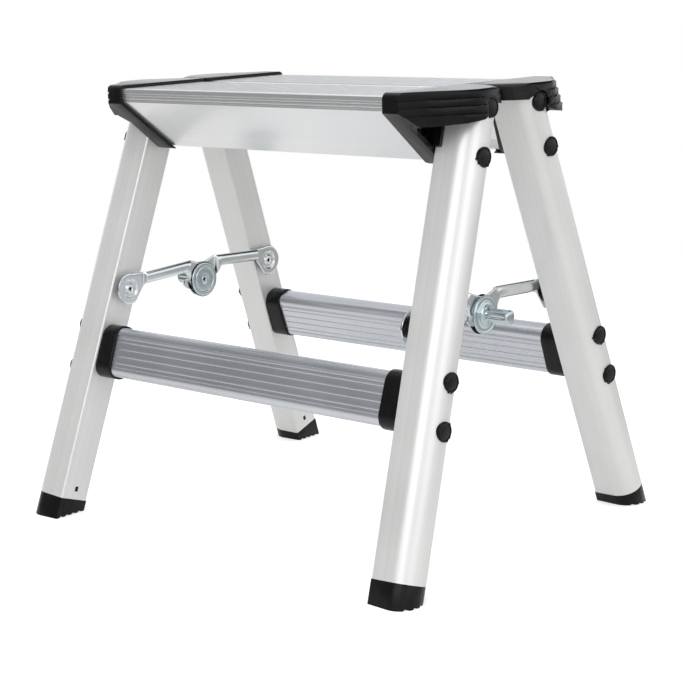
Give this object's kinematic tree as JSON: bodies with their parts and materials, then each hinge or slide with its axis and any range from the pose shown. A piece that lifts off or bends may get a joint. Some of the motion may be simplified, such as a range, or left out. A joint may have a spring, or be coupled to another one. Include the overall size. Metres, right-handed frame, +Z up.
{
  "type": "folding step stool",
  "caption": "Folding aluminium step stool: two hinged half platforms, each on a splayed pair of legs with a rung, held open by a folding spreader on each side.",
  "frame": {"origin": "on the floor, under the middle of the platform", "axes": "+X along the platform to the right-hand caps, -Y to the front, +Z up"},
  "size_m": [0.4582, 0.3774, 0.4],
  "materials": {
    "aluminium": "satin extruded",
    "black_plastic": "moulded, fine texture",
    "zinc_steel": "bright zinc plate"
  },
  "bodies": {
    "rear_frame": {"rear_tread": "aluminium", "rear_rung": "aluminium", "rear_left_leg": "aluminium", "rear_left_foot": "black_plastic", "rear_left_rung_collar": "black_plastic", "rear_left_cap": "black_plastic", "rear_left_bolts": "zinc_steel", "rear_left_plugs": "black_plastic", "rear_left_spacer": "black_plastic", "rear_right_leg": "aluminium", "rear_right_foot": "black_plastic", "rear_right_rung_collar": "black_plastic", "rear_right_cap": "black_plastic", "rear_right_bolts": "zinc_steel", "rear_right_plugs": "black_plastic", "rear_right_spacer": "black_plastic", "left_hinge_pin": "zinc_steel", "rear_left_rivet": "zinc_steel", "right_hinge_pin": "zinc_steel", "rear_right_rivet": "zinc_steel"},
    "front_frame": {"front_tread": "aluminium", "front_rung": "aluminium", "front_left_leg": "aluminium", "front_left_foot": "black_plastic", "front_left_rung_collar": "black_plastic", "front_left_cap": "black_plastic", "front_left_bolts": "zinc_steel", "front_left_plugs": "black_plastic", "front_left_spacer": "black_plastic", "front_right_leg": "aluminium", "front_right_foot": "black_plastic", "front_right_rung_collar": "black_plastic", "front_right_cap": "black_plastic", "front_right_bolts": "zinc_steel", "front_right_plugs": "black_plastic", "front_right_spacer": "black_plastic"},
    "rear_left_arm": {"rear_left_arm": "zinc_steel", "left_pivot_pin": "zinc_steel", "left_pivot_disc": "zinc_steel"},
    "front_left_arm": {"front_left_arm": "zinc_steel", "front_left_rivet": "zinc_steel"},
    "rear_right_arm": {"rear_right_arm": "zinc_steel", "right_pivot_pin": "zinc_steel", "right_pivot_disc": "zinc_steel"},
    "front_right_arm": {"front_right_arm": "zinc_steel", "front_right_rivet": "zinc_steel"}
  },
  "joints": [
    {"name": "fold", "type": "hinge", "parent": "rear_frame", "child": "front_frame", "pos_m": [0, 0, 0.389], "axis": [1, 0, 0], "range_deg": [0, 35]},
    {"name": "rear_left_arm_turn", "type": "hinge", "parent": "rear_frame", "child": "rear_left_arm", "pos_m": [-0.172, 0.09703, 0.20804], "axis": [1, 0, 0], "range_deg": [-52.36, 0]},
    {"name": "left_pivot_turn", "type": "hinge", "parent": "rear_left_arm", "child": "front_left_arm", "pos_m": [-0.172, 0, 0.20304], "axis": [1, 0, 0], "range_deg": [0, 139.7]},
    {"name": "rear_right_arm_turn", "type": "hinge", "parent": "rear_frame", "child": "rear_right_arm", "pos_m": [0.172, 0.09703, 0.20804], "axis": [1, 0, 0], "range_deg": [-52.36, 0]},
    {"name": "right_pivot_turn", "type": "hinge", "parent": "rear_right_arm", "child": "front_right_arm", "pos_m": [0.172, 0, 0.20304], "axis": [1, 0, 0], "range_deg": [0, 139.7]}
  ],
  "couplings": [
    {"joint": "rear_left_arm_turn", "follows": "fold", "ratio": -1.4956},
    {"joint": "left_pivot_turn", "follows": "fold", "ratio": 3.9913},
    {"joint": "rear_right_arm_turn", "follows": "fold", "ratio": -1.4956},
    {"joint": "right_pivot_turn", "follows": "fold", "ratio": 3.9913}
  ]
}
